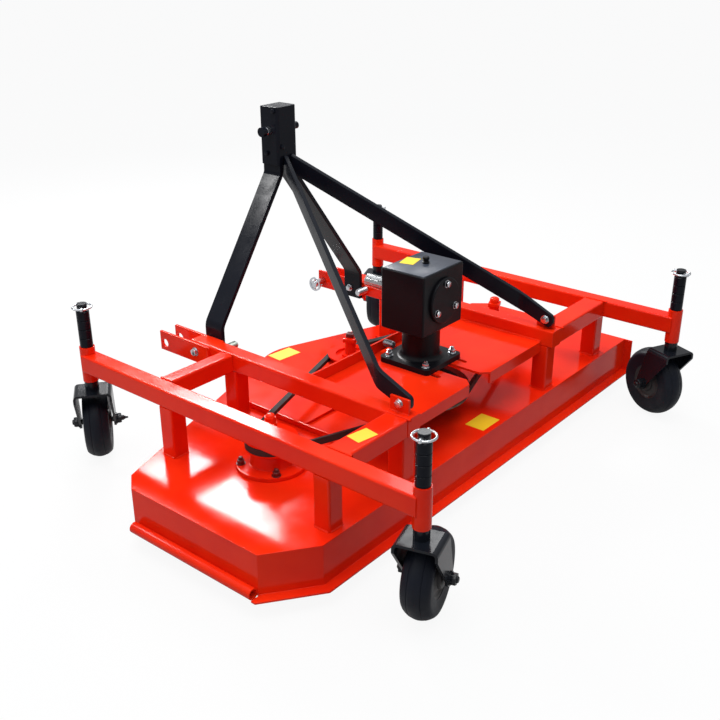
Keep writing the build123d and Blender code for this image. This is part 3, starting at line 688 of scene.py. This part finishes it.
lid = block("gearbox_lid", (lid_width, lid_depth, lid_sheet), 1.2)
lid.location = (gear_middle * MM, gear_back * MM, (gear_high.z + lid_lift) * MM)
# The lid takes the lighter blue-grey of a painted sky reflection, not the casting's black.
seat(lid, "root", lid_painted_sky_reflection)
breather = turned("breather_plug", breather_outline, 24)
breather.location = (
    breather_side * MM, (gear_back - breather_shift) * MM, (gear_high.z + breather_lift) * MM
)
seat(breather, "root", casting_paint)
for number in range(cover_bolt_count):
    angle = radians(90 + number * 360 / cover_bolt_count)
    at = (
        cover_bolt_circle * cos(angle), cover_low.y + cover_sheet, cover_bolt_circle * sin(angle)
    )
    copied(
        hex_bolt, f"cover_bolt_{number}", at, REAR, "root", zinc_plate,
        spin=10 * number, scale=0.72,
    )
for number, (across, along) in enumerate(((-1, -1), (1, -1), (1, 1), (-1, 1))):
    at = (
        across * flange_stud_half, gear_back + along * flange_stud_half,
        platform_top + gearbox_flange,
    )
    copied(
        stud_nut, f"flange_stud_{number}", at, UP, "root", zinc_plate,
        spin=21 * number, scale=0.82,
    )
tension_height = platform_top + tension_bolt_lift
copied(
    stud_thread, "tension_bolt", (tension_bolt_side, tension_bolt_foot, tension_height), REAR,
    "root", zinc_plate, scale=1.5,
)
copied(
    stud_nut, "tension_nut", (tension_bolt_side, tension_nut_foot, tension_height), FRONT,
    "root", zinc_plate, scale=0.7,
)


# Hitch plate bolts, brace bolts, and the mast head's small bolts and link shanks
mast_bar = 12
leg_face = plates_low.x - mast_bar
brace_face = beam_centre - mast_bar
# name, pattern, foot, direction, finish, scale
bolt_rows = [
    ("hitch_bolt_left", hex_bolt, (-plates_high.x, 291, -164.5), LEFT, zinc_plate, 0.9),
    ("hitch_nut_left", hex_bolt, (-leg_face, 291, -164.5), RIGHT, zinc_plate, 0.9),
    ("hitch_nut_right", hex_bolt, (leg_face, 293, -164.5), LEFT, zinc_plate, 0.8),
    ("hitch_bolt_right", hex_bolt, (plates_high.x, 293, -164.5), RIGHT, zinc_plate, 1.0),
    ("stay_bolt_left", stud_thread, (-284, 241.6, -163), RIGHT, green_zinc, 1.7),
    ("stay_bolt_right", stud_thread, (284, 241.6, -163), LEFT, zinc_plate, 1.7),
    ("brace_bolt_left", hex_bolt, (tabs_low.x, -345, -118), LEFT, zinc_plate, 0.8),
    ("brace_nut_left", hex_bolt, (-brace_face, -345, -118), RIGHT, zinc_plate, 0.9),
    ("brace_bolt_right", hex_bolt, (brace_face, -350, -114), LEFT, zinc_plate, 0.9),
    ("brace_nut_right", hex_bolt, (tabs_high.x, -350, -114), RIGHT, zinc_plate, 0.8),
    ("head_bolt_high", small_bolt, (head_left, 281, 398), LEFT, black_enamel, 0.8),
    ("head_bolt_rear", small_bolt, (-21.4, 269.5, 306.5), REAR, black_enamel, 0.8),
    ("head_bolt_low", small_bolt, (head_left, 309, 288), LEFT, black_enamel, 0.8),
]
for bolt_name, pattern, at, along, finish, scale in bolt_rows:
    slot_name = "black_paint" if finish is black_enamel else "zinc"
    copied(pattern, bolt_name, at, along, "root", finish, spin=12, scale=scale)

link_shank_outline = [(9.7, 0), (10.4, 0.6), (10.4, 13), (9.7, 13.6), (9.7, 0)]
link_low, link_high = box_mm("top_link_pin")
link_back = (link_low.y + link_high.y) / 2
link_height = (link_low.z + link_high.z) / 2
link_gap = 0.1
link_face = head_left - link_gap
link_shank = turned("link_shank", link_shank_outline, 40)
for side_name, face, along in (("left", link_face, LEFT), ("right", -link_face, RIGHT)):
    copied(
        link_shank, f"link_shank_{side_name}", (face, link_back, link_height), along,
        "root", zinc_plate,
    )


# Blank yellow plates
label_sheet = 0.8
label_edge = 0.35
label_lift = label_sheet / 2
lid_label_sink = 0.2
lid_top = gear_high.z + lid_lift + lid_sheet / 2
lid_label_height = lid_top + label_lift - lid_label_sink


def label(name, size, at, turn):
    plate = block(name, (*size, label_sheet), label_edge, 1)
    plate.rotation_euler = (0, 0, radians(turn))
    plate.location = Vector(at) * MM
    return plate


# name, size, middle, turn, slot of the piece below it
label_rows = [
    ("label_gearbox", (50, 37), (-2, -132, lid_label_height), 14, "gearbox_black"),
    ("label_deck_rear", (75, 54), (34.5, -340, deck_top + label_lift), 0, "red_paint"),
    ("label_deck_front", (80, 50), (14, 324, panel_top + label_lift), -5, "red_paint"),
    ("label_member", (54, 38), (-450, -349, frame_top + label_lift), -10, "red_paint"),
]
for label_name, size, at, turn, slot_name in label_rows:
    seat(label(label_name, size, at, turn), "root", label_yellow)


# Weld beads
bead_radius = 2.6
bead_merge = 0.6
ripple_length = 1.6
ripple_count = 8
ripple_growth = (1.22, 0.82)


def build_bead():
    """A short run of overlapped weld ripples along Z, for an array."""
    pick_none()
    bpy.ops.mesh.primitive_circle_add(vertices=8, radius=bead_radius * MM, fill_type="NOTHING")
    bpy.ops.object.mode_set(mode="EDIT")
    step = (0, 0, ripple_length * MM)
    for number in range(ripple_count):
        grow = ripple_growth[number % 2]
        bpy.ops.mesh.extrude_region_move(TRANSFORM_OT_translate={"value": step})
        bpy.ops.transform.resize(value=(grow, grow, 1))
    bpy.ops.object.mode_set(mode="OBJECT")
    return named("weld_ripples")


weld_ripples = build_bead()


def weld(name, start, end):
    start, end = Vector(start), Vector(end)
    piece = bpy.data.objects.new(name, weld_ripples.data.copy())
    bpy.context.scene.collection.objects.link(piece)
    pick(piece)
    bpy.ops.object.modifier_add(type="ARRAY")
    rows = piece.modifiers[-1]
    rows.fit_type = "FIT_LENGTH"
    rows.fit_length = (end - start).length * MM
    rows.relative_offset_displace = (0, 0, 1)
    rows.use_merge_vertices = True
    rows.merge_threshold = bead_merge * MM
    bpy.ops.object.modifier_apply(modifier=rows.name)
    bpy.ops.object.mode_set(mode="EDIT")
    bpy.ops.mesh.select_all(action="SELECT")
    bpy.ops.mesh.normals_make_consistent(inside=False)
    bpy.ops.object.mode_set(mode="OBJECT")
    smooth(piece, angle=60)
    turn = (end - start).to_track_quat("Z", "Y").to_matrix().to_4x4()
    piece.data.transform(Matrix.Translation(start * MM) @ turn)
    return seat(piece, "root", red_enamel)


def level_weld(name, across, near, far, height):
    """A bead that runs from front to rear at one height."""
    weld(name, (across, near, height), (across, far, height))


front_member_width = 40
rear_member_width = 60
weld_trim = 4
platform_weld_shift = 2
tab_weld_trim = 1
tab_weld_gap = 0.5
stiffener_weld_trim = 4.5
stiffener_weld_gap = 3.5
member_rows = (
    ("front", members_high.y, members_high.y - front_member_width),
    ("rear", members_low.y + rear_member_width, members_low.y),
)
for side, side_name, rail in ((-1, "left", left_rail_high.x), (1, "right", right_rail_low.x)):
    level_weld(
        f"platform_weld_{side_name}", side * beam_low.x, platform_high.y + platform_weld_shift,
        platform_low.y + platform_weld_shift, platform_top,
    )
    level_weld(
        f"tab_weld_{side_name}", side * (tabs_high.x + tab_weld_gap), tabs_high.y - tab_weld_trim,
        tabs_low.y + tab_weld_trim, frame_top,
    )
    for member_name, near, far in member_rows:
        near, far = near - weld_trim, far + weld_trim
        end_name = f"{member_name}_{side_name}"
        level_weld(f"member_weld_{end_name}", side * beam_high.x, near, far, frame_top)
        level_weld(f"rail_weld_{end_name}", rail, near, far, frame_top)
    for plate_face in (plates_low.x, plates_high.x):
        across = side * plate_face
        weld(
            f"hitch_weld_{side_name}_{int(plate_face)}",
            (across, plates_low.y, plates_high.z - weld_trim), (across, plates_low.y, beam_low.z),
        )
stiffener_end = beam_low.x - stiffener_weld_trim
stiffener_front = platform_high.y + stiffener_weld_gap
weld(
    "stiffener_weld", (-stiffener_end, stiffener_front, platform_top),
    (stiffener_end, stiffener_front, platform_top),
)

post_width = 44
post_weld_trim = 3.5
outer_front = 138
outer_rear = -341
inner_front = posts_high.y - post_width / 2
inner_rear = posts_low.y + post_width / 2
post_centres = {
    "front_left": (left_rail_centre, outer_front),
    "rear_left": (left_rail_centre, outer_rear),
    "front_right": (right_rail_centre, outer_front),
    "rear_right": (right_rail_centre, outer_rear),
    "front_inner_left": (-beam_centre, inner_front),
    "front_inner_right": (beam_centre, inner_front),
    "rear_inner_left": (-beam_centre, inner_rear),
    "rear_inner_right": (beam_centre, inner_rear),
}


def post_welds(name, centre):
    half = post_width / 2
    corners = [(-half, -half), (half, -half), (half, half), (-half, half)]
    for number, (first, second) in enumerate(zip(corners, corners[1:] + corners[:1])):
        start = Vector((centre[0] + first[0], centre[1] + first[1], deck_top))
        end = Vector((centre[0] + second[0], centre[1] + second[1], deck_top))
        trim = (end - start).normalized() * post_weld_trim
        weld(f"{name}_{number}", start + trim, end - trim)


for post_name, centre in post_centres.items():
    post_welds(f"post_weld_{post_name}", centre)


# Casters: tyres, hubs, spacers, ringed lynch pins, and the nuts on the axle bolts
tyre_outline = [
    (48, -28), (60, -29.5), (70, -31), (77, -32), (81, -31), (84.5, -28), (87.5, -24), (90.5, -19),
    (92.2, -15.2), (91.4, -14), (92.8, -12.8), (94.2, -7.5), (94.9, -3), (95, 0),
    (94.9, 3), (94.2, 7.5), (92.8, 12.8), (91.4, 14), (92.2, 15.2),
    (90.5, 19), (87.5, 24), (84.5, 28), (81, 31), (77, 32), (70, 31), (60, 29.5), (48, 28),
    (48, -28),
]
hub_outline = [
    (8.4, -35), (20, -35), (24, -34), (26, -31), (26.5, -27), (30, -24), (36, -22.5), (42, -23),
    (45, -26), (48.2, -27), (48.2, 27), (45, 26),
    (42, 23), (36, 22.5), (30, 24), (26.5, 27), (26, 31), (24, 34), (20, 35), (8.4, 35),
    (8.4, -35),
]
spacer_count = 4
spacer_length = 23.5
spacer_bore = 12.8
spacer_groove = 14.6
spacer_radius = 16
spacer_chamfer = 1.2
ring_radius = 23
wire_radius = 2.6
wire_sides = 12
lynch_bar_outline = [(0, -27), (3, -27), (4, -26), (4, 26), (3, 27), (0, 27)]
nut_washer_outline = [(0, 0), (15, 0), (15, 2.5), (0, 2.5)]
nut_end_outline = [(0, 12), (7.5, 12), (7.5, 15), (5.5, 17.5), (0, 18)]
cone_end_outline = [(0, 12), (7.5, 12), (6.5, 18), (3, 24), (2.4, 30), (0, 30.5)]
axle_nut_foot = 47

spacer_outline = [(spacer_bore, 0)]
for number in range(spacer_count):
    foot = number * spacer_length
    end = foot + spacer_length
    spacer_outline += [
        (spacer_groove, foot), (spacer_radius, foot + spacer_chamfer),
        (spacer_radius, end - spacer_chamfer), (spacer_groove, end),
    ]
spacer_outline += [(spacer_bore, spacer_count * spacer_length), (spacer_bore, 0)]
wire_outline = []
for number in range(wire_sides + 1):
    angle = radians(number * 360 / wire_sides)
    wire_outline.append((ring_radius + wire_radius * cos(angle), wire_radius * sin(angle)))

tyre_pattern = turned("tyre_pattern", tyre_outline, 96)
hub_pattern = turned("hub_pattern", hub_outline, 64)
spacer_pattern = turned("spacer_pattern", spacer_outline, 40)
lynch_bar = turned("lynch_bar", lynch_bar_outline, 20)
pick(lynch_bar)
lynch_bar.rotation_euler = (0, pi / 2, 0)
bpy.ops.object.transform_apply(location=False, rotation=True, scale=False)
lynch_pattern = joined("lynch_pattern", turned("lynch_ring", wire_outline, 56), lynch_bar)
nut_pattern = joined(
    "nut_pattern", turned("nut_washer", nut_washer_outline, 32),
    hexagon("nut_body", 24.5, 11, 2.2), turned("nut_end", nut_end_outline, 24),
)
cone_pattern = joined(
    "cone_pattern", turned("cone_washer", nut_washer_outline, 32),
    hexagon("cone_body", 24.5, 11, 2.2), turned("cone_end", cone_end_outline, 24),
)

joints = {joint["name"]: joint for joint in frame["joints"]}
for caster_name in caster_names:
    spin = joints[f"wheel_{caster_name}_spin"]
    centre = Vector(spin["pos_m"]) / MM
    axle = Vector(spin["axis"])
    wheel = f"wheel_{caster_name}"
    tyre = copied(
        tyre_pattern, f"smooth_tyre_{caster_name}", centre, axle, wheel,
        tyre_rubber,
    )
    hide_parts(f"tyre_{caster_name}")
    hub = copied(
        hub_pattern, f"turned_hub_{caster_name}", centre, axle, wheel, hub_plastic
    )
    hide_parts(f"hub_{caster_name}")

    caster = f"caster_{caster_name}"
    swivel = Vector(joints[f"caster_{caster_name}_swivel"]["pos_m"]) / MM
    spacer_low = box_mm(f"spacers_{caster_name}")[0].z
    spacers = copied(
        spacer_pattern, f"grooved_spacers_{caster_name}", (swivel.x, swivel.y, spacer_low), UP,
        caster, black_enamel,
    )
    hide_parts(f"spacers_{caster_name}")
    lynch_low, lynch_high = box_mm(f"lynch_pin_{caster_name}")
    trail = centre - swivel
    lynch_pin = copied(
        lynch_pattern, f"ringed_lynch_pin_{caster_name}",
        (swivel.x, swivel.y, (lynch_low.z + lynch_high.z) / 2), UP,
        caster, zinc_plate, spin=degrees(atan2(trail.y, trail.x)),
    )
    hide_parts(f"lynch_pin_{caster_name}")
    for side, end_name in ((-1, "inner"), (1, "outer")):
        pattern = cone_pattern if caster_name == "front_left" and side < 0 else nut_pattern
        copied(
            pattern, f"axle_nut_{caster_name}_{end_name}", centre + axle * side * axle_nut_foot,
            axle * side, caster, fork_enamel,
        )

for pattern in (
    hex_bolt, small_bolt, stud_thread, stud_nut, dome_cap, square_foot, square_nut, weld_ripples,
    link_shank, tyre_pattern, hub_pattern, nut_pattern, cone_pattern, spacer_pattern,
    lynch_pattern,
):
    bpy.data.objects.remove(pattern)


# Floor, light and view
floor_size = 40
floor_gap = 0.0005
floor_grey = 0.36
floor_white_share = 0.86
floor_white_strength = 1.07
gloss_white_share = 0.3
sky_colour = (0.93, 0.96, 1.0, 1)
sky_low, sky_low_strength = 0.3, 0.12
sky_high, sky_high_strength = 0.85, 1.0


def seen_rays(tree, path):
    """How far the white background shows: wholly to the eye, in part in gloss or through glass."""
    seen = path.outputs["Is Camera Ray"]
    for label in ("Is Glossy Ray", "Is Transmission Ray"):
        more = tree.nodes.new("ShaderNodeMath")
        more.operation = "MULTIPLY_ADD"
        more.use_clamp = True
        tree.links.new(path.outputs[label], more.inputs[0])
        more.inputs[1].default_value = gloss_white_share
        tree.links.new(seen, more.inputs[2])
        seen = more.outputs["Value"]
    return seen


def build_floor():
    """A pale floor under the wheels that takes soft shadows and fades into the background."""
    pick_none()
    ground = cad_box[0][2] - floor_gap
    bpy.ops.mesh.primitive_plane_add(size=floor_size, location=(0, 0, ground))
    floor = named("floor")
    material, tree, shader = new_material(
        "pale_floor", Roughness=0.9, Base_Color=(floor_grey, floor_grey, floor_grey, 1),
        Specular_IOR_Level=0.1,
    )
    white = tree.nodes.new("ShaderNodeEmission")
    white.inputs["Strength"].default_value = floor_white_strength
    path = tree.nodes.new("ShaderNodeLightPath")
    share = tree.nodes.new("ShaderNodeMath")
    share.operation = "MULTIPLY"
    share.inputs[1].default_value = floor_white_share
    tree.links.new(seen_rays(tree, path), share.inputs[0])
    mix = tree.nodes.new("ShaderNodeMixShader")
    tree.links.new(share.outputs["Value"], mix.inputs["Fac"])
    tree.links.new(shader.outputs["BSDF"], mix.inputs[1])
    tree.links.new(white.outputs["Emission"], mix.inputs[2])
    tree.links.new(mix.outputs["Shader"], tree.nodes["Material Output"].inputs["Surface"])
    floor.data.materials.append(material)


def build_sky():
    """A soft light, strongest overhead, behind a white background."""
    world = bpy.data.worlds.new("studio")
    bpy.context.scene.world = world
    world.use_nodes = True
    tree = world.node_tree
    light = tree.nodes["Background"]
    light.inputs["Color"].default_value = sky_colour
    direction = tree.nodes.new("ShaderNodeTexCoord").outputs["Generated"]
    parts = tree.nodes.new("ShaderNodeSeparateXYZ")
    tree.links.new(direction, parts.inputs["Vector"])
    height = parts.outputs["Z"]
    strength = spread(tree, height, sky_low, sky_high, sky_low_strength, sky_high_strength)
    tree.links.new(strength, light.inputs["Strength"])
    white = tree.nodes.new("ShaderNodeBackground")
    white.inputs["Color"].default_value = (1, 1, 1, 1)
    path = tree.nodes.new("ShaderNodeLightPath")
    mix = tree.nodes.new("ShaderNodeMixShader")
    tree.links.new(seen_rays(tree, path), mix.inputs["Fac"])
    tree.links.new(light.outputs["Background"], mix.inputs[1])
    tree.links.new(white.outputs["Background"], mix.inputs[2])
    tree.links.new(mix.outputs["Shader"], tree.nodes["World Output"].inputs["Surface"])


def softbox(name, at, towards, size, energy):
    lamp = bpy.data.lights.new(name, "AREA")
    lamp.shape = "RECTANGLE"
    lamp.size, lamp.size_y = size
    lamp.energy = energy
    light = bpy.data.objects.new(name, lamp)
    bpy.context.scene.collection.objects.link(light)
    light.location = at
    light.rotation_mode = "QUATERNION"
    light.rotation_quaternion = (Vector(towards) - Vector(at)).to_track_quat("-Z", "Y")
    light.visible_camera = False


aim_camera()
build_floor()
build_sky()
# name, place, point lit, size, watts
softbox("softbox_top", (-0.6, -0.4, 3.2), (0, 0, 0), (2.6, 2.6), 74)
softbox("softbox_behind", (1.20, 2.25, 1.62), (-0.45, 0.05, -0.3), (0.95, 0.62), 78)
softbox("softbox_rear", (1.69, 0.94, 1.62), (-0.55, -0.60, -0.19), (0.45, 0.45), 4)
softbox("softbox_mast", (-1.10, 1.81, 1.56), (-0.07, 0.29, 0.27), (0.18, 0.18), 7)
softbox("softbox_left", (-3.2, 0.6, 1.6), (0, 0, -0.2), (1.6, 1.6), 12)
bpy.context.scene.view_settings.view_transform = "Standard"
